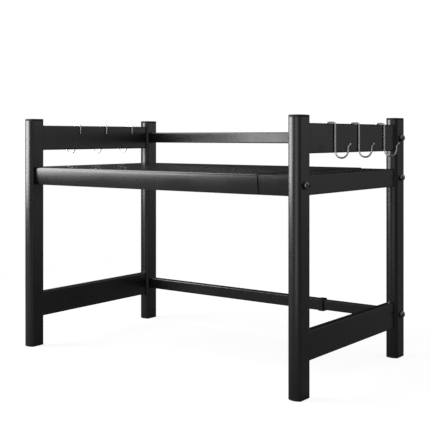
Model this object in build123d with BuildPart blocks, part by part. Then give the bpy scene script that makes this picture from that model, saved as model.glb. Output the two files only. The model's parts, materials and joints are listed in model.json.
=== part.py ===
from build123d import *
from math import sqrt
import os

# Width-adjustable counter rack for a microwave oven. Two welded side frames stand on the counter,
# a shelf of two nested folded trays spans them, and two telescoping cross rails tie them at the back.
# +X runs to the right along the width, +Y to the back, +Z up. The origin is on the counter, midway
# between the four posts, with the rack drawn out as far as it usually stands. All sizes are in mm.

# ---- overall sizes ----
shelf_top_z = 347.0
post_pitch_x = 602.0
post_pitch_y = 338.0

# ---- posts: flat-sided tubes with bowed front and rear faces ----
post_width = 23.0
post_depth = 34.0
post_bow = 4.0
post_corner_radius = 2.0
post_wall = 1.2

# ---- plastic caps and feet that plug the post ends ----
cap_height = 3.8
cap_edge_chamfer = 1.0
foot_height = 3.2
foot_edge_chamfer = 0.6
plug_length = 12.0
plug_gap = 0.1

# ---- flat rails of the side frames ----
rail_thickness = 12.5
rail_wall = 1.2
rail_corner_radius = 2.5
guard_rail_height = 48.0
guard_rail_gap = 32.4
post_rise = 12.6
lower_rail_height = 48.0
lower_rail_centre_z = 79.0
shelf_rail_height = 33.0

# ---- shelf: outer tray on the left frame, inner tray on the right frame ----
apron_height = 34.0
apron_bulge = 5.0
apron_overhang = 8.0
tray_edge_radius = 4.0
tray_sheet = 1.0
tray_gap = 0.3
outer_tray_length = 517.5
inner_tray_length = 440.0
end_flange_height = 24.0
post_notch_gap = 0.5

# ---- brackets that take the shelf screws ----
bracket_sheet = 2.0
bracket_width = 24.0
bracket_foot_length = 26.0
bracket_foot_width = 12.0
bracket_lower_gap = 3.0

# ---- telescoping rear cross rails ----
outer_tube_height = 22.3
outer_tube_depth = 15.0
outer_tube_radius = 2.0
cross_tube_wall = 1.2
cross_tube_gap = 0.3
outer_tube_length = 440.0
inner_tube_length = 460.0
insert_length = 20.0
insert_gap = 0.1
collar_wall = 1.2
collar_lip = 2.0
collar_grip = 8.0
glide_rim = 2.0
glide_shank = 10.0

# ---- M6 frame screws and nuts ----
screw_diameter = 6.0
screw_length = 36.0
screw_head_diameter = 12.5
screw_head_height = 7.2
screw_head_dome = 4.6
socket_across_flats = 4.0
socket_depth = 2.4
screw_hole_gap = 0.25
thread_gap = 0.05
nut_across_flats = 10.0
nut_height = 5.0

# ---- wire hooks that ride on the guard rails ----
wire_diameter = 3.0
wire_sides = 8
hook_gap = 0.3
hook_bend_radius = 3.5
hook_inner_drop = 17.7
hook_bight_width = 24.0
hook_bight_drop = 58.0
hook_tip_rise = 3.5
hook_curl_radius = 8.0
hook_curl_angle = 62.0
right_hook_places = {"front": -70.0, "middle": 12.5, "rear": 108.0}
left_hook_places = {"front": -52.0, "middle": 25.0, "rear": 105.0}

# ---- sizes that follow from the ones above ----
guard_centre_z = shelf_top_z + guard_rail_gap + guard_rail_height / 2
guard_top_z = guard_centre_z + guard_rail_height / 2
overall_height = guard_top_z + post_rise
post_tube_length = overall_height - foot_height - cap_height
post_x = post_pitch_x / 2
post_y = post_pitch_y / 2
post_flat_half = post_depth / 2 - post_bow
post_inner_x = post_x - post_width / 2
post_outer_x = post_x + post_width / 2
post_inner_y = post_y - post_depth / 2
rail_inner_x = post_x - rail_thickness / 2
shelf_rail_centre_z = shelf_top_z - shelf_rail_height / 2
shelf_bottom_z = shelf_top_z - apron_height
apron_centre_z = shelf_top_z - apron_height / 2
apron_radius = ((apron_height / 2) ** 2 + apron_bulge ** 2) / (2 * apron_bulge)
tray_depth = post_pitch_y + 2 * apron_overhang
inner_tray_inset = tray_sheet + tray_gap
inner_tube_height = outer_tube_height - 2 * (cross_tube_wall + cross_tube_gap)
inner_tube_depth = outer_tube_depth - 2 * (cross_tube_wall + cross_tube_gap)
inner_tube_radius = outer_tube_radius - cross_tube_gap
cross_rail_heights = [guard_centre_z, lower_rail_centre_z]
front_screw_heights = [shelf_rail_centre_z]
rear_screw_heights = [guard_centre_z, shelf_rail_centre_z, lower_rail_centre_z]

LEFT, RIGHT = -1, 1
FRONT, REAR = -1, 1
side_names = {LEFT: "left", RIGHT: "right"}
end_names = {FRONT: "front", REAR: "rear"}

os.makedirs("parts", exist_ok=True)


def save(piece, name):
    """Label a finished piece and write it out under the same name."""
    piece.part.label = name
    export_step(piece.part, f"parts/{name}.step")


# ---- cross-sections that several pieces share ----


def post_outline(inset):
    """Section of a post: flat sides towards the shelf ends, bowed faces to the front and back."""
    with BuildSketch() as outline:
        with BuildLine():
            half = post_width / 2
            Line((half, -post_flat_half), (half, post_flat_half))
            ThreePointArc((half, post_flat_half), (0, post_depth / 2), (-half, post_flat_half))
            Line((-half, post_flat_half), (-half, -post_flat_half))
            ThreePointArc((-half, -post_flat_half), (0, -post_depth / 2), (half, -post_flat_half))
        make_face()
        fillet(outline.vertices(), post_corner_radius)
        if inset > 0:
            offset(amount=-inset)
    return outline.sketch


def ring(outer, inner):
    """The wall left between two outlines."""
    with BuildSketch() as wall:
        add(outer)
        add(inner, mode=Mode.SUBTRACT)
    return wall.sketch


def rounded_tube(width, height, radius, wall):
    """Section of a rectangular tube with rounded corners."""
    with BuildSketch() as tube:
        RectangleRounded(width, height, radius)
        offset(amount=-wall, kind=Kind.INTERSECTION, mode=Mode.SUBTRACT)
    return tube.sketch


def tray_outline(inset):
    """Bullnose section of the shelf, inset from its outer skin. It runs on below the aprons' edges."""
    with BuildSketch() as outline:
        with Locations((0, apron_centre_z)):
            SlotCenterToCenter(tray_depth - 2 * apron_radius, 2 * (apron_radius - inset))
        with Locations((0, shelf_top_z - inset)):
            Rectangle(2 * tray_depth, 2 * apron_radius, align=(Align.CENTER, Align.MAX), mode=Mode.INTERSECT)
        fillet(outline.vertices().group_by(Axis.Y)[-1], tray_edge_radius - inset)
    return outline.sketch


def tray_sheet_section(inset):
    """One folded sheet: a flat deck that turns down into a bulging apron at the front and the back."""
    with BuildSketch() as sheet:
        add(tray_outline(inset))
        add(tray_outline(inset + tray_sheet), mode=Mode.SUBTRACT)
        with Locations((0, shelf_bottom_z)):
            Rectangle(2 * tray_depth, 2 * apron_radius, align=(Align.CENTER, Align.MAX), mode=Mode.SUBTRACT)
    return sheet.sketch


post_solid_section = post_outline(0)
post_tube_section = ring(post_solid_section, post_outline(post_wall))
post_plug_section = post_outline(post_wall + plug_gap)

outer_tube_section = rounded_tube(outer_tube_depth, outer_tube_height, outer_tube_radius, cross_tube_wall)
inner_tube_section = rounded_tube(inner_tube_depth, inner_tube_height, inner_tube_radius, cross_tube_wall)


# ---- side frames ----


def make_post(side, end):
    """An upright tube with the holes that its screws pass through, in at the outside and out inside."""
    heights = front_screw_heights if end == FRONT else rear_screw_heights
    with BuildPart() as post:
        with BuildSketch(Plane.XY.offset(foot_height)):
            with Locations((side * post_x, end * post_y)):
                add(post_tube_section)
        extrude(amount=post_tube_length)
        outer_face = [Plane((side * post_outer_x, end * post_y, z), z_dir=(side, 0, 0)) for z in heights]
        with Locations(*outer_face):
            Hole(screw_diameter / 2 + screw_hole_gap, depth=post_width)
    save(post, f"{side_names[side]}_{end_names[end]}_post")


def make_cap(side, end):
    """A plastic cap with a broken edge on the post's top, with a plug down inside the tube."""
    top_of_tube = foot_height + post_tube_length
    with BuildPart() as cap:
        with BuildSketch(Plane.XY.offset(top_of_tube)):
            with Locations((side * post_x, end * post_y)):
                add(post_solid_section)
        extrude(amount=cap_height)
        chamfer(cap.faces().sort_by(Axis.Z)[-1].edges(), cap_edge_chamfer)
        with BuildSketch(Plane.XY.offset(top_of_tube)):
            with Locations((side * post_x, end * post_y)):
                add(post_plug_section)
        extrude(amount=-plug_length)
    save(cap, f"{side_names[side]}_{end_names[end]}_cap")


def make_foot(side, end):
    """A plastic foot under the post that keeps the steel off the counter, plugged in like the cap."""
    with BuildPart() as foot:
        with BuildSketch():
            with Locations((side * post_x, end * post_y)):
                add(post_solid_section)
        extrude(amount=foot_height)
        chamfer(foot.faces().sort_by(Axis.Z)[0].edges(), foot_edge_chamfer)
        with BuildSketch(Plane.XY.offset(foot_height)):
            with Locations((side * post_x, end * post_y)):
                add(post_plug_section)
        extrude(amount=plug_length)
    save(foot, f"{side_names[side]}_{end_names[end]}_foot")


def make_side_rail(side, name, height, centre_z):
    """A flat tube welded between two posts, its ends coped to their bowed faces."""
    with BuildPart() as rail:
        with BuildSketch(Plane.XZ):
            with Locations((side * post_x, centre_z)):
                add(rounded_tube(rail_thickness, height, rail_corner_radius, rail_wall))
        extrude(amount=post_y, both=True)
        with BuildSketch(Plane.XY.offset(centre_z - height)):
            with Locations((side * post_x, -post_y), (side * post_x, post_y)):
                add(post_solid_section)
        extrude(amount=2 * height, mode=Mode.SUBTRACT)
    save(rail, f"{side_names[side]}_{name}_rail")


for side in (LEFT, RIGHT):
    for end in (FRONT, REAR):
        make_post(side, end)
        make_cap(side, end)
        make_foot(side, end)
    make_side_rail(side, "guard", guard_rail_height, guard_centre_z)
    make_side_rail(side, "shelf", shelf_rail_height, shelf_rail_centre_z)
    make_side_rail(side, "lower", lower_rail_height, lower_rail_centre_z)


# ---- shelf ----


def make_tray(side, name, inset, length):
    """A folded tray that starts between the posts of one side and is notched round them."""
    deck_z = shelf_top_z - inset
    tab_width = 2 * (post_inner_y - post_notch_gap)
    with BuildPart() as tray:
        with BuildSketch(Plane.YZ.offset(side * post_inner_x)):
            add(tray_sheet_section(inset))
        extrude(amount=-side * length)
        # the deck reaches on between the posts to the side rail, and folds down against it
        with BuildSketch(Plane.YZ.offset(side * post_inner_x)):
            with Locations((0, deck_z)):
                Rectangle(tab_width, tray_sheet, align=(Align.CENTER, Align.MAX))
        extrude(amount=side * (rail_inner_x - post_inner_x))
        with BuildSketch(Plane.YZ.offset(side * rail_inner_x)):
            with Locations((0, deck_z)):
                Rectangle(tab_width, end_flange_height, align=(Align.CENTER, Align.MAX))
        extrude(amount=-side * tray_sheet)
    save(tray, name)


def make_tray_brackets(side, inset):
    """Two folded brackets inside the tray's ends: a plate against each post, a foot under the deck."""
    deck_underside = shelf_top_z - inset - tray_sheet
    with BuildPart() as brackets:
        for end in (FRONT, REAR):
            with BuildSketch(Plane.YZ.offset(side * post_inner_x)):
                add(tray_outline(inset + tray_sheet))
                with Locations((end * tray_depth / 2, shelf_bottom_z + bracket_lower_gap)):
                    Rectangle(2 * bracket_width, apron_height, align=(Align.CENTER, Align.MIN),
                              mode=Mode.INTERSECT)
            extrude(amount=-side * bracket_sheet)
            with BuildSketch(Plane.YZ.offset(side * post_inner_x)):
                with Locations((end * (tray_depth / 2 - bracket_width + bracket_foot_width / 2), deck_underside)):
                    Rectangle(bracket_foot_width, bracket_sheet, align=(Align.CENTER, Align.MAX))
            extrude(amount=-side * bracket_foot_length)
            with Locations(Plane((side * post_inner_x, end * post_y, shelf_rail_centre_z), z_dir=(side, 0, 0))):
                Hole(screw_diameter / 2 + screw_hole_gap, depth=bracket_sheet)
    save(brackets, f"{side_names[side]}_tray_brackets")


def make_weld_nuts(side):
    """A hexagon nut welded behind each bracket's plate."""
    with BuildPart() as nuts:
        with BuildSketch(Plane.YZ.offset(side * (post_inner_x - bracket_sheet))):
            with Locations((-post_y, shelf_rail_centre_z), (post_y, shelf_rail_centre_z)):
                RegularPolygon(nut_across_flats / 2, 6, major_radius=False, rotation=30)
                Circle(screw_diameter / 2 + thread_gap, mode=Mode.SUBTRACT)
        extrude(amount=-side * nut_height)
    save(nuts, f"{side_names[side]}_weld_nuts")


make_tray(LEFT, "outer_tray", 0, outer_tray_length)
make_tray(RIGHT, "inner_tray", inner_tray_inset, inner_tray_length)
for side, inset in ((LEFT, 0), (RIGHT, inner_tray_inset)):
    make_tray_brackets(side, inset)
    make_weld_nuts(side)


# ---- telescoping rear cross rails ----


def make_cross_tube(side, name, section, length, centre_z):
    """One tube of a cross rail, standing out from the inner face of a rear post."""
    with BuildPart() as tube:
        with BuildSketch(Plane.YZ.offset(side * post_inner_x)):
            with Locations((post_y, centre_z)):
                add(section)
        extrude(amount=-side * length)
    save(tube, name)


def make_tube_inserts(side, depth, height, radius):
    """A tapped steel block in the post end of each cross tube."""
    fit = cross_tube_wall + insert_gap
    with BuildPart() as inserts:
        with BuildSketch(Plane.YZ.offset(side * post_inner_x)):
            with Locations(*[(post_y, z) for z in cross_rail_heights]):
                RectangleRounded(depth - 2 * fit, height - 2 * fit, radius - cross_tube_wall)
                Circle(screw_diameter / 2 + thread_gap, mode=Mode.SUBTRACT)
        extrude(amount=-side * insert_length)
    save(inserts, f"{side_names[side]}_tube_inserts")


make_cross_tube(LEFT, "rear_guard_outer_tube", outer_tube_section, outer_tube_length, guard_centre_z)
make_cross_tube(LEFT, "rear_lower_outer_tube", outer_tube_section, outer_tube_length, lower_rail_centre_z)
make_cross_tube(RIGHT, "rear_guard_inner_tube", inner_tube_section, inner_tube_length, guard_centre_z)
make_cross_tube(RIGHT, "rear_lower_inner_tube", inner_tube_section, inner_tube_length, lower_rail_centre_z)
make_tube_inserts(LEFT, outer_tube_depth, outer_tube_height, outer_tube_radius)
make_tube_inserts(RIGHT, inner_tube_depth, inner_tube_height, inner_tube_radius)

# plastic collars that finish the mouths of the outer tubes and guide the inner ones
mouth_x = -post_inner_x + outer_tube_length
collar_depth = outer_tube_depth + 2 * collar_wall
collar_height = outer_tube_height + 2 * collar_wall
bore_depth = inner_tube_depth + 2 * cross_tube_gap
bore_height = inner_tube_height + 2 * cross_tube_gap
with BuildPart() as tube_mouth_collars:
    with BuildSketch(Plane.YZ.offset(mouth_x - collar_grip)):
        with Locations(*[(post_y, z) for z in cross_rail_heights]):
            RectangleRounded(collar_depth, collar_height, outer_tube_radius + collar_wall)
            RectangleRounded(outer_tube_depth, outer_tube_height, outer_tube_radius, mode=Mode.SUBTRACT)
    extrude(amount=collar_grip)
    with BuildSketch(Plane.YZ.offset(mouth_x)):
        with Locations(*[(post_y, z) for z in cross_rail_heights]):
            RectangleRounded(collar_depth, collar_height, outer_tube_radius + collar_wall)
            Rectangle(bore_depth, bore_height, mode=Mode.SUBTRACT)
    extrude(amount=collar_lip)
save(tube_mouth_collars, "tube_mouth_collars")

# plastic glides that close the far ends of the inner tubes and run inside the outer ones
tail_x = post_inner_x - inner_tube_length
shank_fit = cross_tube_wall + insert_gap
with BuildPart() as inner_tube_glides:
    with BuildSketch(Plane.YZ.offset(tail_x)):
        with Locations(*[(post_y, z) for z in cross_rail_heights]):
            RectangleRounded(inner_tube_depth, inner_tube_height, inner_tube_radius)
    extrude(amount=-glide_rim)
    with BuildSketch(Plane.YZ.offset(tail_x)):
        with Locations(*[(post_y, z) for z in cross_rail_heights]):
            RectangleRounded(inner_tube_depth - 2 * shank_fit, inner_tube_height - 2 * shank_fit,
                             inner_tube_radius - cross_tube_wall)
    extrude(amount=glide_shank)
save(inner_tube_glides, "inner_tube_glides")


# ---- screws ----


def make_screws(side):
    """Button-head screws put in from the outside: one through the front post, three through the rear."""
    places = [(FRONT * post_y, z) for z in front_screw_heights]
    places += [(REAR * post_y, z) for z in rear_screw_heights]
    with BuildPart() as screws:
        with BuildSketch(Plane.YZ.offset(side * post_outer_x)):
            with Locations(*places):
                Circle(screw_head_diameter / 2)
        extrude(amount=side * screw_head_height)
        head_tops = screws.faces().filter_by(GeomType.PLANE).group_by(Axis.X)[-1 if side == RIGHT else 0]
        fillet(head_tops.edges(), screw_head_dome)
        with BuildSketch(Plane.YZ.offset(side * (post_outer_x + screw_head_height))):
            with Locations(*places):
                RegularPolygon(socket_across_flats / 2, 6, major_radius=False)
        extrude(amount=-side * socket_depth, mode=Mode.SUBTRACT)
        with BuildSketch(Plane.YZ.offset(side * post_outer_x)):
            with Locations(*places):
                Circle(screw_diameter / 2)
        extrude(amount=-side * screw_length)
    save(screws, f"{side_names[side]}_frame_screws")


for side in (LEFT, RIGHT):
    make_screws(side)


# ---- hooks ----


def make_hook(side, place, y):
    """A bent wire hook: a short leg inside the guard rail, a long one outside that ends in a bight.
    The round wire is drawn with a few flats."""
    leg_reach = rail_thickness / 2 + hook_gap + wire_diameter / 2
    saddle_z = guard_top_z + hook_gap + wire_diameter / 2
    bight_centre_z = saddle_z - hook_bight_drop + hook_bight_width / 2
    # seen from the front of this plane, x points away from the rack and y points up
    hook_plane = Plane((side * post_x, y, 0), x_dir=(side, 0, 0), z_dir=(0, -side, 0))
    with BuildPart() as hook:
        with BuildLine(hook_plane) as route:
            inner_leg = Line((-leg_reach, saddle_z - hook_inner_drop), (-leg_reach, saddle_z - hook_bend_radius))
            inner_bend = JernArc(inner_leg @ 1, (0, 1), hook_bend_radius, -90)
            saddle = Line(inner_bend @ 1, (leg_reach - hook_bend_radius, saddle_z))
            outer_bend = JernArc(saddle @ 1, (1, 0), hook_bend_radius, -90)
            outer_leg = Line(outer_bend @ 1, (leg_reach, bight_centre_z))
            bight = JernArc(outer_leg @ 1, (0, -1), hook_bight_width / 2, 180)
            tip_start = (leg_reach + hook_bight_width, bight_centre_z)
            tip_rise = Line(tip_start, (tip_start[0], bight_centre_z + hook_tip_rise))
            JernArc(tip_rise @ 1, (0, 1), hook_curl_radius, -hook_curl_angle)
        with BuildSketch(Plane(route.wire() @ 0, z_dir=route.wire() % 0)):
            RegularPolygon(wire_diameter / 2, wire_sides)
        sweep()
    save(hook, f"{side_names[side]}_{place}_hook")


for place, y in right_hook_places.items():
    make_hook(RIGHT, place, y)
for place, y in left_hook_places.items():
    make_hook(LEFT, place, y)
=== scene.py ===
# Looks of a width-adjustable counter rack: black powder-coated steel frames, a telescoping shelf,
# plastic caps and feet, and bright wire hooks on the guard rails. Sizes are in metres.
import json
import math

import bpy
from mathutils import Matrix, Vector


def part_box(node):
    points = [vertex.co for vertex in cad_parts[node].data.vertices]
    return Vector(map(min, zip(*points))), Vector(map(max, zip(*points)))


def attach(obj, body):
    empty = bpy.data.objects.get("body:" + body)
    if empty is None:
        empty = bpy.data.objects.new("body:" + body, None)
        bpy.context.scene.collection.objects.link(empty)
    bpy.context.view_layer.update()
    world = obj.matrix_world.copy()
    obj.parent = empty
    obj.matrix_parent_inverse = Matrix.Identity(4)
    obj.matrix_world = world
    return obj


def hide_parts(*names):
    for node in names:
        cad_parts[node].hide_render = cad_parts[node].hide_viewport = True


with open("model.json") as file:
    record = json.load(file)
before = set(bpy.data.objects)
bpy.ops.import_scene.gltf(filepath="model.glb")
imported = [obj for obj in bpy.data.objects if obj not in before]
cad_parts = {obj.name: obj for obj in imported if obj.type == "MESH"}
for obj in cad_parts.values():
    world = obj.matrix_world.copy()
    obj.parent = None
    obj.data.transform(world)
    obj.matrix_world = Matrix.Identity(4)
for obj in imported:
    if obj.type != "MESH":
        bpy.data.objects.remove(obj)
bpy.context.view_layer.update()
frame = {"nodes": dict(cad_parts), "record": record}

MM = 0.001

# ---- shelf trays: folded sheet ----
tray_sheet = 1.0 * MM
nesting_inset = 1.3 * MM                # how far the inner tray runs inside the outer one
fold_radius = 4.0 * MM                  # where the deck folds down into an apron
fold_steps = 6
apron_radius = 125.0 * MM               # the apron's long inward curve
apron_tuck = math.radians(13.5)         # how far it has turned inwards at the bottom edge
apron_steps = 9
end_flange_height = 24.0 * MM
tab_fold = 0.8 * MM                     # the tab's tight fold, drawn as one small chamfer
notch_gap = 0.5 * MM                    # between a post and the tab
touch = 0.1 * MM                        # a vertex this near a line lies on it
crease_angle = math.radians(25)         # flatter folds are shaded smooth

# ---- hooks: bent round wire ----
wire_radius = 1.5 * MM
wire_sides = 16
hook_gap = 0.3 * MM
hook_bend_radius = 3.5 * MM
hook_inner_drop = 17.7 * MM
hook_bight_width = 24.0 * MM
hook_bight_drop = 58.0 * MM
hook_tip_rise = 3.5 * MM
hook_curl_radius = 8.0 * MM
hook_curl_angle = math.radians(62.0)
arc_step = math.radians(11.25)
end_rings = [math.radians(degrees) for degrees in (0, 25, 50, 75)]     # of the wire's half-round ends

# ---- camera, as the photograph was taken: level, at the guard rails' height, to the right of the front ----
camera_place = Vector((1.0369, -1.3690, 0.4067))
camera_turn = math.radians(36.82)
focal_length_px = 905.0
picture_px = 430.0
horizon_px = 136.1
sensor_mm = 36.0

# ---- stage ----
floor_radius = 1.6
floor_sides = 96
floor_gap = 0.2 * MM
floor_lift = 0.86                       # glow that takes the lit floor to white for the camera
fill_level = 0.95                       # even light from all round, on matt surfaces
ceiling_level = 0.8
ceiling_blend = (0.5, 0.9)              # upward part of the direction over which walls turn into ceiling
far_floor_level = 0.15
floor_blend = (-0.12, 0.0)              # the same, from the far floor to the walls
brightest_wall = 1.5
# (degrees from the front to the right, level in reflections as a share of the brightest wall)
wall_levels = [(-180, 0.0), (-135, 0.0), (-125, 0.3), (-95, 0.4), (-60, 0.25), (-25, 0.25), (20, 0.2),
               (40, 0.05), (105, 0.1), (120, 0.6), (133, 0.65), (142, 0.36), (150, 0.36), (156, 0.03),
               (180, 0.0)]
# (name, middle, the point it faces, width, height, brightness of its face)
softboxes = [("left_softbox", (-0.95, -0.66, 0.995), (0.0, -0.66, 0.995), 0.6, 1.51, 12.0),
             ("left_strip", (-0.95, -1.28, 0.4), (0.0, -1.28, 0.4), 0.64, 0.32, 12.0),
             ("front_softbox", (0.33, -1.0, 0.4), (0.33, 0.0, 0.4), 0.36, 0.8, 1.6)]


# ---- what every material and piece uses ----

noise_low, noise_high = 0.3, 0.7        # where nearly all of a noise's values lie
cell_far = 0.8                          # a Voronoi cell's value at its border


def colour(hex_code):
    """The linear colour of an sRGB hex code."""
    channels = [int(hex_code[i:i + 2], 16) / 255 for i in (1, 3, 5)]
    linear = [c / 12.92 if c <= 0.04045 else ((c + 0.055) / 1.055) ** 2.4 for c in channels]
    return (*linear, 1.0)


def add_node(tree, kind, settings=None, inputs=None):
    """Adds a node. Settings are its own options; each input is a value, or another node's socket."""
    made = tree.nodes.new(kind)
    for name, value in (settings or {}).items():
        setattr(made, name, value)
    for name, value in (inputs or {}).items():
        if isinstance(value, bpy.types.NodeSocket):
            tree.links.new(value, made.inputs[name])
        else:
            made.inputs[name].default_value = value
    return made


def new_material(name):
    """An empty node material and its output node."""
    material = bpy.data.materials.new(name)
    material.use_nodes = True
    material.node_tree.nodes.clear()
    return material, material.node_tree, add_node(material.node_tree, "ShaderNodeOutputMaterial")


def per_metre(size_mm):
    """The scale that gives a pattern on metre coordinates features of this size in millimetres."""
    return 1 / (size_mm * MM)


# ---- materials ----


def satin_polyester_powder_coat():
    """Black polyester powder, sprayed and baked on steel. It flows out to an even satin skin: reflections
    are long and soft-edged, barely broken by a shallow orange peel and a fine dry grain."""
    peel_mm = 4.5
    grain_mm = 0.9      # the real grain is near 0.1 mm, too fine to show
    patch_mm = 70.0
    material, tree, output = new_material("satin_polyester_powder_coat")
    place = add_node(tree, "ShaderNodeTexCoord").outputs["Object"]
    peel = add_node(tree, "ShaderNodeTexNoise", inputs={
        "Vector": place, "Scale": per_metre(peel_mm), "Detail": 0.0})
    grain = add_node(tree, "ShaderNodeTexNoise", inputs={
        "Vector": place, "Scale": per_metre(grain_mm), "Detail": 3.0, "Roughness": 0.6})
    patches = add_node(tree, "ShaderNodeTexNoise", inputs={
        "Vector": place, "Scale": per_metre(patch_mm), "Detail": 3.0, "Roughness": 0.55})
    tone = add_node(tree, "ShaderNodeMix", {"data_type": "RGBA"}, {
        "Factor": grain.outputs["Fac"], "A": colour("#0f0f10"), "B": colour("#121213")})
    gloss = add_node(tree, "ShaderNodeMapRange", inputs={
        "Value": patches.outputs["Fac"], "From Min": noise_low, "From Max": noise_high,
        "To Min": 0.24, "To Max": 0.30})
    peel_skin = add_node(tree, "ShaderNodeBump", inputs={
        "Height": peel.outputs["Fac"], "Strength": 0.25, "Distance": 0.012 * MM})
    skin = add_node(tree, "ShaderNodeBump", inputs={
        "Height": grain.outputs["Fac"], "Strength": 0.1, "Distance": 0.002 * MM,
        "Normal": peel_skin.outputs["Normal"]})
    paint = add_node(tree, "ShaderNodeBsdfPrincipled", inputs={
        "Base Color": tone.outputs[2], "Roughness": gloss.outputs["Result"], "IOR": 1.5,
        "Normal": skin.outputs["Normal"]})
    tree.links.new(paint.outputs["BSDF"], output.inputs["Surface"])
    return material


def moulded_black_polypropylene():
    """Injection-moulded black polypropylene from a spark-eroded tool: duller than the paint beside it,
    with a fine even stipple and a faint waxy sheen."""
    stipple_mm = 0.8    # the real stipple is near 0.2 mm, too fine to show
    flow_mm = 14.0
    material, tree, output = new_material("moulded_black_polypropylene")
    place = add_node(tree, "ShaderNodeTexCoord").outputs["Object"]
    stipple = add_node(tree, "ShaderNodeTexVoronoi", {"feature": "SMOOTH_F1"}, {
        "Vector": place, "Scale": per_metre(stipple_mm), "Smoothness": 0.6})
    flow = add_node(tree, "ShaderNodeTexNoise", inputs={
        "Vector": place, "Scale": per_metre(flow_mm), "Detail": 2.0})
    tone = add_node(tree, "ShaderNodeMix", {"data_type": "RGBA"}, {
        "Factor": flow.outputs["Fac"], "A": colour("#0e0e0e"), "B": colour("#171717")})
    gloss = add_node(tree, "ShaderNodeMapRange", inputs={
        "Value": stipple.outputs["Distance"], "From Min": 0.0, "From Max": cell_far,
        "To Min": 0.5, "To Max": 0.64})
    skin = add_node(tree, "ShaderNodeBump", inputs={
        "Height": stipple.outputs["Distance"], "Strength": 0.3, "Distance": 0.03 * MM})
    plastic = add_node(tree, "ShaderNodeBsdfPrincipled", inputs={
        "Base Color": tone.outputs[2], "Roughness": gloss.outputs["Result"], "IOR": 1.49,
        "Specular IOR Level": 0.25, "Normal": skin.outputs["Normal"]})
    tree.links.new(plastic.outputs["BSDF"], output.inputs["Surface"])
    return material


def natural_nylon():
    """Natural nylon, injection-moulded: milky ivory, a little waxy, never quite even in tone."""
    cloud_mm = 6.0
    material, tree, output = new_material("natural_nylon")
    place = add_node(tree, "ShaderNodeTexCoord").outputs["Object"]
    cloud = add_node(tree, "ShaderNodeTexNoise", inputs={
        "Vector": place, "Scale": per_metre(cloud_mm), "Detail": 3.0})
    tone = add_node(tree, "ShaderNodeMix", {"data_type": "RGBA"}, {
        "Factor": cloud.outputs["Fac"], "A": colour("#d9d5c6"), "B": colour("#ece9dd")})
    skin = add_node(tree, "ShaderNodeBump", inputs={
        "Height": cloud.outputs["Fac"], "Strength": 0.2, "Distance": 0.05 * MM})
    plastic = add_node(tree, "ShaderNodeBsdfPrincipled", inputs={
        "Base Color": tone.outputs[2], "Roughness": 0.42, "IOR": 1.53, "Subsurface Weight": 0.15,
        "Subsurface Scale": 1.5 * MM, "Normal": skin.outputs["Normal"]})
    tree.links.new(plastic.outputs["BSDF"], output.inputs["Surface"])
    return material


def polished_stainless_wire():
    """Drawn stainless wire, polished after bending: a bright, slightly warm grey with a mirror that is
    softened by fine scratches left by the die."""
    scratch_mm = 0.5    # real die lines are finer, too fine to show
    handling_mm = 9.0
    material, tree, output = new_material("polished_stainless_wire")
    place = add_node(tree, "ShaderNodeTexCoord").outputs["Object"]
    scratches = add_node(tree, "ShaderNodeTexNoise", inputs={
        "Vector": place, "Scale": per_metre(scratch_mm), "Detail": 3.0, "Roughness": 0.7})
    handling = add_node(tree, "ShaderNodeTexNoise", inputs={
        "Vector": place, "Scale": per_metre(handling_mm), "Detail": 2.0})
    tone = add_node(tree, "ShaderNodeMix", {"data_type": "RGBA"}, {
        "Factor": handling.outputs["Fac"], "A": colour("#cfcecb"), "B": colour("#dddcda")})
    gloss = add_node(tree, "ShaderNodeMapRange", inputs={
        "Value": scratches.outputs["Fac"], "From Min": noise_low, "From Max": noise_high,
        "To Min": 0.10, "To Max": 0.22})
    skin = add_node(tree, "ShaderNodeBump", inputs={
        "Height": scratches.outputs["Fac"], "Strength": 0.12, "Distance": 0.01 * MM})
    steel = add_node(tree, "ShaderNodeBsdfPrincipled", inputs={
        "Base Color": tone.outputs[2], "Metallic": 1.0, "Roughness": gloss.outputs["Result"],
        "Normal": skin.outputs["Normal"]})
    tree.links.new(steel.outputs["BSDF"], output.inputs["Surface"])
    return material


def black_nickel_plate():
    """Black nickel on a cold-headed screw: a dark smoky mirror, with a faint mottle where the plating
    is thicker."""
    mottle_mm = 2.0
    material, tree, output = new_material("black_nickel_plate")
    place = add_node(tree, "ShaderNodeTexCoord").outputs["Object"]
    mottle = add_node(tree, "ShaderNodeTexNoise", inputs={
        "Vector": place, "Scale": per_metre(mottle_mm), "Detail": 3.0})
    tone = add_node(tree, "ShaderNodeMix", {"data_type": "RGBA"}, {
        "Factor": mottle.outputs["Fac"], "A": colour("#5c5b5d"), "B": colour("#7c7b7d")})
    gloss = add_node(tree, "ShaderNodeMapRange", inputs={
        "Value": mottle.outputs["Fac"], "From Min": noise_low, "From Max": noise_high,
        "To Min": 0.16, "To Max": 0.28})
    plate = add_node(tree, "ShaderNodeBsdfPrincipled", inputs={
        "Base Color": tone.outputs[2], "Metallic": 1.0, "Roughness": gloss.outputs["Result"]})
    tree.links.new(plate.outputs["BSDF"], output.inputs["Surface"])
    return material


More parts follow.
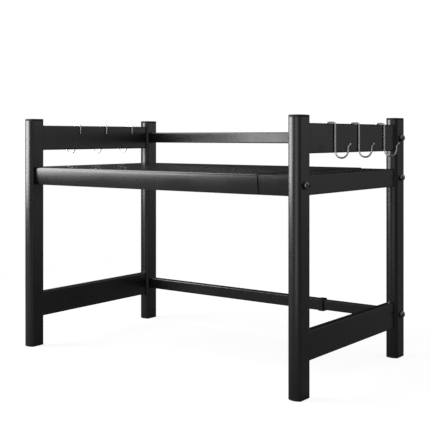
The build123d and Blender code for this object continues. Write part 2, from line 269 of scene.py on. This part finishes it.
def bright_zinc_plate():
    """Bright zinc plating with a clear blue passivation: a pale cool metal, spangled and soft in its
    reflections."""
    spangle_mm = 2.5
    material, tree, output = new_material("bright_zinc_plate")
    place = add_node(tree, "ShaderNodeTexCoord").outputs["Object"]
    spangle = add_node(tree, "ShaderNodeTexVoronoi", inputs={
        "Vector": place, "Scale": per_metre(spangle_mm)})
    tone = add_node(tree, "ShaderNodeMix", {"data_type": "RGBA"}, {
        "Factor": spangle.outputs["Distance"], "A": colour("#b4bac1"), "B": colour("#cfd2d4")})
    gloss = add_node(tree, "ShaderNodeMapRange", inputs={
        "Value": spangle.outputs["Distance"], "From Min": 0.0, "From Max": cell_far,
        "To Min": 0.28, "To Max": 0.42})
    plate = add_node(tree, "ShaderNodeBsdfPrincipled", inputs={
        "Base Color": tone.outputs[2], "Metallic": 1.0, "Roughness": gloss.outputs["Result"]})
    tree.links.new(plate.outputs["BSDF"], output.inputs["Surface"])
    return material


finishes = {
    "powder_coat": satin_polyester_powder_coat(),
    "black_plastic": moulded_black_polypropylene(),
    "nylon": natural_nylon(),
    "stainless_wire": polished_stainless_wire(),
    "screw_nickel": black_nickel_plate(),
    "zinc_steel": bright_zinc_plate(),
}


def coat(piece, slot_name):
    """Gives a piece the finish of one of the record's material slots."""
    piece.data.materials.clear()
    piece.data.materials.append(finishes[slot_name])


for subpart in frame["record"]["subparts"]:
    coat(frame["nodes"][subpart["node"]], subpart["material_slot"])


def draw_on(step):
    """Draws the selected open end or edge on by a step."""
    bpy.ops.mesh.extrude_region_move(TRANSFORM_OT_translate={"value": step})


# ---- shelf: two nested trays of folded sheet ----


def select_places(piece, wanted):
    """Selects the piece's vertices whose place passes a test, and returns to edit mode."""
    bpy.ops.mesh.select_all(action="DESELECT")
    bpy.ops.object.mode_set(mode="OBJECT")
    for vertex in piece.data.vertices:
        vertex.select = wanted(vertex.co)
    bpy.ops.object.mode_set(mode="EDIT")


def apron_profile(inset, height):
    """Points down the apron's outer skin from the deck's edge, as (outwards from the widest line, up from
    the deck). A tight fold runs into a face that curves inwards and ends straight at the bottom edge."""
    fold, curve = fold_radius - inset, apron_radius - inset
    points = []
    for step in range(fold_steps + 1):
        tilt = math.pi / 2 * (1 - step / fold_steps)
        points.append((fold * (math.cos(tilt) - 1), fold * (math.sin(tilt) - 1)))
    for step in range(1, apron_steps + 1):
        tilt = -apron_tuck * step / apron_steps
        points.append((curve * (math.cos(tilt) - 1), curve * math.sin(tilt) - fold))
    last_out, last_up = points[-1]
    points.append((last_out - (height + last_up) * math.tan(apron_tuck), -height))
    return points


def make_tray(side, node, name, inset):
    """A tray of folded sheet: a deck with an apron down its front and back, and a tab between the posts
    that folds down against the side rail."""
    side_name = "right" if side > 0 else "left"
    low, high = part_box(node)
    post_low, post_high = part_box(f"{side_name}_front_post")
    post_x = post_low.x if side > 0 else post_high.x
    mouth_x, tab_x = (low.x, high.x) if side > 0 else (high.x, low.x)
    tab_half = -post_high.y - notch_gap
    profile = apron_profile(inset, high.z - low.z)
    deck_half = high.y + profile[0][0]
    middle = Vector(((post_x + mouth_x) / 2, 0, high.z))

    # the flat deck, cut along the sides of the tab
    bpy.ops.object.select_all(action="DESELECT")
    bpy.ops.mesh.primitive_plane_add(size=1, location=middle)
    tray = bpy.context.object
    tray.name = name
    bpy.ops.object.transform_apply(location=True, rotation=True, scale=True)
    bpy.ops.object.mode_set(mode="EDIT")
    bpy.ops.mesh.select_all(action="SELECT")
    bpy.ops.transform.resize(value=(abs(mouth_x - post_x), 2 * deck_half, 1), center_override=middle)
    for y in (-tab_half, tab_half):
        bpy.ops.mesh.select_all(action="SELECT")
        bpy.ops.mesh.bisect(plane_co=(middle.x, y, middle.z), plane_no=(0, 1, 0))
    # the two aprons
    for end in (-1, 1):
        select_places(tray, lambda place: end * place.y > deck_half - touch)
        for start, stop in zip(profile, profile[1:]):
            draw_on((0, end * (stop[0] - start[0]), stop[1] - start[1]))
    # the tab and its flange
    select_places(tray, lambda place: abs(place.x - post_x) < touch and abs(place.y) < tab_half + touch)
    draw_on((tab_x - post_x - side * tab_fold, 0, 0))
    draw_on((side * tab_fold, 0, -tab_fold))
    draw_on((0, 0, tab_fold - end_flange_height))
    bpy.ops.mesh.select_all(action="SELECT")
    bpy.ops.mesh.normals_make_consistent(inside=False)
    bpy.ops.object.mode_set(mode="OBJECT")
    sheet = tray.modifiers.new("sheet", "SOLIDIFY")
    sheet.thickness = tray_sheet
    sheet.offset = -1
    sheet.use_even_offset = True
    bpy.ops.object.modifier_apply(modifier="sheet")
    bpy.ops.object.shade_smooth_by_angle(angle=crease_angle)

    coat(tray, "powder_coat")
    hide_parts(node)
    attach(tray, f"{side_name}_frame")


make_tray(-1, "outer_tray", "outer_folded_tray", 0.0)
make_tray(1, "inner_tray", "inner_folded_tray", nesting_inset)


# ---- hooks ----


def bend(centre, axis, angle):
    """Bends the wire's open end round a centre, right-handed about the axis; spin counts the other way."""
    bpy.ops.mesh.spin(steps=max(2, round(abs(angle) / arc_step)), angle=-angle, center=centre, axis=axis)


def round_off(centre, direction):
    """Closes the wire's open end with a half round."""
    for lower, upper in zip(end_rings, end_rings[1:]):
        step = direction * wire_radius * (math.sin(upper) - math.sin(lower))
        draw_on(step)
        centre = centre + step
        bpy.ops.transform.resize(value=(math.cos(upper) / math.cos(lower),) * 3, center_override=centre)
    bpy.ops.mesh.merge(type="COLLAPSE")


def make_hook(side, place):
    """A hook of round wire: a short leg inside the guard rail, a long one outside that ends in a bight
    with its tip curled outwards."""
    side_name = "right" if side > 0 else "left"
    rail_low, rail_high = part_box(f"{side_name}_guard_rail")
    node_low, node_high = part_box(f"{side_name}_{place}_hook")
    y = (node_low.y + node_high.y) / 2
    rail_x = (rail_low.x + rail_high.x) / 2
    leg_reach = (rail_high.x - rail_low.x) / 2 + hook_gap + wire_radius
    saddle_z = rail_high.z + hook_gap + wire_radius
    bight_radius = hook_bight_width / 2
    bight_z = saddle_z - hook_bight_drop + bight_radius
    inner_x = rail_x - side * leg_reach
    outer_x = rail_x + side * leg_reach
    tip_x = outer_x + side * hook_bight_width
    bend_z = saddle_z - hook_bend_radius
    turn = Vector((0, side, 0))
    up, out = Vector((0, 0, 1)), Vector((side, 0, 0))

    # the inner leg, from its rounded end up
    bpy.ops.object.select_all(action="DESELECT")
    leg_end = Vector((inner_x, y, saddle_z - hook_inner_drop))
    bpy.ops.mesh.primitive_circle_add(vertices=wire_sides, radius=wire_radius, location=leg_end)
    hook = bpy.context.object
    hook.name = f"{side_name}_{place}_wire_hook"
    bpy.ops.object.transform_apply(location=True, rotation=True, scale=True)
    bpy.ops.object.mode_set(mode="EDIT")
    bpy.ops.mesh.select_all(action="SELECT")
    round_off(leg_end, -up)
    bpy.ops.mesh.select_all(action="DESELECT")
    bpy.ops.mesh.select_non_manifold()
    draw_on(up * (bend_z - leg_end.z))
    # over the rail and down the outer leg
    bend((inner_x + side * hook_bend_radius, y, bend_z), turn, math.pi / 2)
    draw_on(out * 2 * (leg_reach - hook_bend_radius))
    bend((outer_x - side * hook_bend_radius, y, bend_z), turn, math.pi / 2)
    draw_on(up * (bight_z - bend_z))
    # the bight and its curled tip
    bend((outer_x + side * bight_radius, y, bight_z), turn, -math.pi)
    draw_on(up * hook_tip_rise)
    curl_centre = Vector((tip_x + side * hook_curl_radius, y, bight_z + hook_tip_rise))
    bend(curl_centre, turn, hook_curl_angle)
    rise, reach = math.sin(hook_curl_angle), math.cos(hook_curl_angle)
    round_off(curl_centre + hook_curl_radius * (up * rise - out * reach), up * reach + out * rise)
    bpy.ops.mesh.select_all(action="SELECT")
    bpy.ops.mesh.normals_make_consistent(inside=False)
    bpy.ops.object.mode_set(mode="OBJECT")
    bpy.ops.object.shade_smooth()

    coat(hook, "stainless_wire")
    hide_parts(f"{side_name}_{place}_hook")
    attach(hook, f"{side_name}_{place}_hook")


for side in (-1, 1):
    for place in ("front", "middle", "rear"):
        make_hook(side, place)


# ---- the photograph's stage ----


def make_floor():
    """A pale counter that takes the rack's shadow and is white to the camera. It is clear from below, so
    that the underside can be looked at."""
    bpy.ops.object.select_all(action="DESELECT")
    bpy.ops.mesh.primitive_circle_add(vertices=floor_sides, radius=floor_radius, fill_type="NGON",
                                      location=(0, 0, -floor_gap))
    floor = bpy.context.object
    floor.name = "floor"
    material, tree, output = new_material("white_studio_floor")
    to_camera = add_node(tree, "ShaderNodeLightPath").outputs["Is Camera Ray"]
    lift = add_node(tree, "ShaderNodeMath", {"operation": "MULTIPLY"}, {0: to_camera, 1: floor_lift})
    surface = add_node(tree, "ShaderNodeBsdfPrincipled", inputs={
        "Base Color": colour("#6a6a6a"), "Roughness": 0.9, "Specular IOR Level": 0.0,
        "Emission Color": colour("#ffffff"), "Emission Strength": lift.outputs["Value"]})
    seen = add_node(tree, "ShaderNodeMixShader", inputs={
        "Fac": add_node(tree, "ShaderNodeNewGeometry").outputs["Backfacing"]})
    tree.links.new(surface.outputs["BSDF"], seen.inputs[1])
    tree.links.new(add_node(tree, "ShaderNodeBsdfTransparent").outputs["BSDF"], seen.inputs[2])
    tree.links.new(seen.outputs["Shader"], output.inputs["Surface"])
    floor.data.materials.append(material)


def make_world():
    """White to the camera, and even light on matt surfaces. In reflections it is a studio: its walls are
    grey at the left and the front, nearly black behind the camera, bright at the right towards the back,
    and black behind the rack."""
    world = bpy.data.worlds.new("studio")
    world.use_nodes = True
    bpy.context.scene.world = world
    tree = world.node_tree
    tree.nodes.clear()
    output = add_node(tree, "ShaderNodeOutputWorld")
    path = add_node(tree, "ShaderNodeLightPath")
    towards = add_node(tree, "ShaderNodeTexCoord").outputs["Generated"]
    axes = add_node(tree, "ShaderNodeSeparateXYZ", inputs={"Vector": towards})

    to_front = add_node(tree, "ShaderNodeMath", {"operation": "MULTIPLY"}, {0: axes.outputs["Y"], 1: -1.0})
    azimuth = add_node(tree, "ShaderNodeMath", {"operation": "ARCTAN2"}, {
        0: axes.outputs["X"], 1: to_front.outputs["Value"]})
    turn = add_node(tree, "ShaderNodeMapRange", inputs={
        "Value": azimuth.outputs["Value"], "From Min": -math.pi, "From Max": math.pi})
    walls = add_node(tree, "ShaderNodeValToRGB", inputs={"Fac": turn.outputs["Result"]})
    walls.color_ramp.interpolation = "B_SPLINE"
    stops = walls.color_ramp.elements
    stops.remove(stops[1])
    for number, (degrees, level) in enumerate(wall_levels):
        stop = stops[0] if number == 0 else stops.new((degrees + 180) / 360)
        stop.color = (level, level, level, 1)
    bright_walls = add_node(tree, "ShaderNodeMath", {"operation": "MULTIPLY"}, {
        0: walls.outputs["Color"], 1: brightest_wall})

    up_share = add_node(tree, "ShaderNodeMapRange", {"interpolation_type": "SMOOTHSTEP"}, {
        "Value": axes.outputs["Z"], "From Min": ceiling_blend[0], "From Max": ceiling_blend[1]})
    above = add_node(tree, "ShaderNodeMix", {"data_type": "FLOAT"}, {
        "Factor": up_share.outputs["Result"], "A": bright_walls.outputs["Value"], "B": ceiling_level})
    down_share = add_node(tree, "ShaderNodeMapRange", {"interpolation_type": "SMOOTHSTEP"}, {
        "Value": axes.outputs["Z"], "From Min": floor_blend[0], "From Max": floor_blend[1],
        "To Min": 1.0, "To Max": 0.0})
    studio = add_node(tree, "ShaderNodeMix", {"data_type": "FLOAT"}, {
        "Factor": down_share.outputs["Result"], "A": above.outputs[0], "B": far_floor_level})

    shown = add_node(tree, "ShaderNodeMath", {"operation": "MAXIMUM"}, {
        0: path.outputs["Is Camera Ray"], 1: path.outputs["Is Transmission Ray"]})
    mirrored = add_node(tree, "ShaderNodeMath", {"operation": "MULTIPLY"}, {
        0: path.outputs["Is Glossy Ray"], 1: studio.outputs[0]})
    picture = add_node(tree, "ShaderNodeMath", {"operation": "MAXIMUM"}, {
        0: shown.outputs["Value"], 1: mirrored.outputs["Value"]})
    fill = add_node(tree, "ShaderNodeMath", {"operation": "MULTIPLY"}, {
        0: path.outputs["Is Diffuse Ray"], 1: fill_level})
    strength = add_node(tree, "ShaderNodeMath", {"operation": "MAXIMUM"}, {
        0: picture.outputs["Value"], 1: fill.outputs["Value"]})
    background = add_node(tree, "ShaderNodeBackground", inputs={
        "Color": colour("#ffffff"), "Strength": strength.outputs["Value"]})
    tree.links.new(background.outputs["Background"], output.inputs["Surface"])


def make_softbox(name, middle, aim, width, height, radiance):
    """A flat softbox that faces a point. Its power follows from how bright its face is."""
    lamp = bpy.data.lights.new(name, "AREA")
    lamp.shape = "RECTANGLE"
    lamp.size, lamp.size_y = width, height
    lamp.energy = radiance * math.pi * width * height
    holder = bpy.data.objects.new(name, lamp)
    bpy.context.scene.collection.objects.link(holder)
    holder.location = middle
    holder.rotation_euler = (Vector(middle) - Vector(aim)).to_track_quat("Z", "Y").to_euler()


def make_camera():
    """A level camera; the shift puts the horizon where the photograph has it."""
    lens = bpy.data.cameras.new("camera")
    lens.sensor_width = sensor_mm
    lens.lens = sensor_mm * focal_length_px / picture_px
    lens.shift_y = (horizon_px - picture_px / 2) / picture_px
    camera = bpy.data.objects.new("camera", lens)
    bpy.context.scene.collection.objects.link(camera)
    camera.location = camera_place
    camera.rotation_euler = (math.radians(90), 0, camera_turn)
    bpy.context.scene.camera = camera


make_floor()
make_world()
for softbox in softboxes:
    make_softbox(*softbox)
make_camera()
bpy.context.scene.view_settings.view_transform = "Standard"
